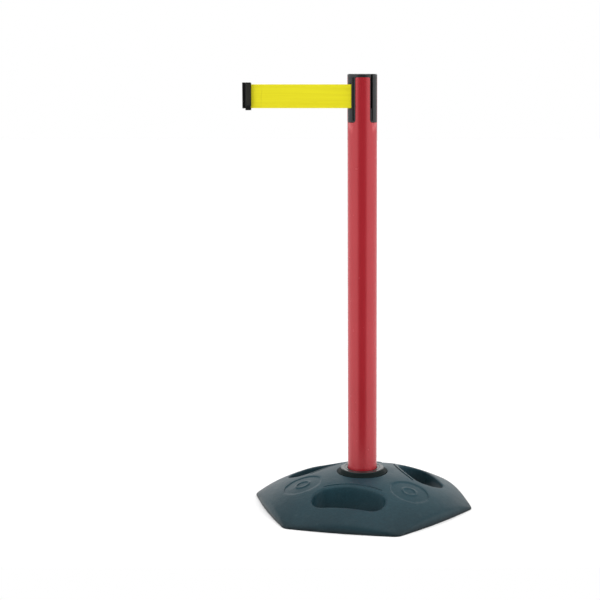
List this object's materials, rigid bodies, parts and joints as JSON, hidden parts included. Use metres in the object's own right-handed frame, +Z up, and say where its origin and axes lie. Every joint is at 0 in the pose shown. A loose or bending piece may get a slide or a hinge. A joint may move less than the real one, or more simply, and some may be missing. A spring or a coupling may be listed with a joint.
{
  "type": "retractable belt stanchion",
  "caption": "Crowd-control post on a heavy rubber base, with a spring-wound belt that clips to the next post's head.",
  "frame": {"origin": "on the floor, on the post's axis", "axes": "+Z up along the post, the belt leaves the head towards -X, the viewer's side is -Y"},
  "size_m": [0.4898, 0.4628, 0.937],
  "materials": {
    "base_rubber": "matte, moulded recycled rubber",
    "black_plastic": "satin",
    "black_gloss": "polished moulding",
    "cap_plastic": "semi-gloss",
    "clip_plastic": "semi-gloss",
    "zinc_steel": "zinc plated",
    "bright_steel": "ground",
    "spring_steel": "blued strip",
    "cast_aluminium": "as cast",
    "red_paint": "satin powder coat",
    "grey_plastic": "satin",
    "pale_plastic": "satin",
    "bush_plastic": "satin",
    "brass": "pressed brass",
    "brake_lining": "fibre filled",
    "yellow_webbing": "woven polyester"
  },
  "bodies": {
    "post_assembly": {"rubber_base": "base_rubber", "post_socket": "black_gloss", "clamp_disc": "zinc_steel", "lock_washer": "zinc_steel", "tie_bolt": "zinc_steel", "post_tube": "red_paint", "foot_plug": "cast_aluminium", "foot_pins": "zinc_steel", "receiver_front_right": "black_plastic", "receiver_rear_right": "black_plastic", "receiver_rear_left": "black_plastic", "belt_guide": "black_plastic", "cassette_plate": "black_plastic", "cassette_screws": "zinc_steel", "spool_shaft": "bright_steel", "shaft_nut": "zinc_steel", "spring_cup": "grey_plastic", "spring_cover": "grey_plastic", "power_spring": "spring_steel", "brake_drum": "grey_plastic", "top_plate": "black_plastic", "top_cap": "cap_plastic", "cap_screw": "zinc_steel"},
    "spool_assembly": {"spool": "pale_plastic", "bush_lower": "bush_plastic", "bush_upper": "bush_plastic", "belt_roll": "yellow_webbing", "brake_rotor": "brass", "brake_pins": "bright_steel"},
    "brake_arm_a": {"brake_shoe_a": "brake_lining"},
    "brake_arm_b": {"brake_shoe_b": "brake_lining"},
    "belt_end": {"belt_strip": "yellow_webbing", "tape_end_body": "clip_plastic", "tape_end_foot": "clip_plastic", "belt_pin": "bright_steel"}
  },
  "joints": [
    {"name": "belt_pull", "type": "slide", "parent": "post_assembly", "child": "belt_end", "axis": [-1, 0, 0], "range_m": [-0.2045, 2.07], "stiffness_N_per_m": 3, "springref_m": -2.9, "deforming": ["belt_strip"]},
    {"name": "spool_spin", "type": "hinge", "parent": "post_assembly", "child": "spool_assembly", "pos_m": [0, 0, 0.8904], "axis": [0, 0, 1], "range_deg": [-8460, 860], "deforming": ["power_spring"]},
    {"name": "brake_shoe_a_swing", "type": "hinge", "parent": "spool_assembly", "child": "brake_arm_a", "pos_m": [0.011, 0, 0.922], "axis": [0, 0, -1], "range_deg": [0, 2.5], "stiffness_Nm_per_rad": 0.02},
    {"name": "brake_shoe_b_swing", "type": "hinge", "parent": "spool_assembly", "child": "brake_arm_b", "pos_m": [-0.011, 0, 0.922], "axis": [0, 0, -1], "range_deg": [0, 2.5], "stiffness_Nm_per_rad": 0.02}
  ],
  "couplings": [
    {"joint": "spool_spin", "follows": "belt_pull", "rad_per_m": -71.2}
  ]
}
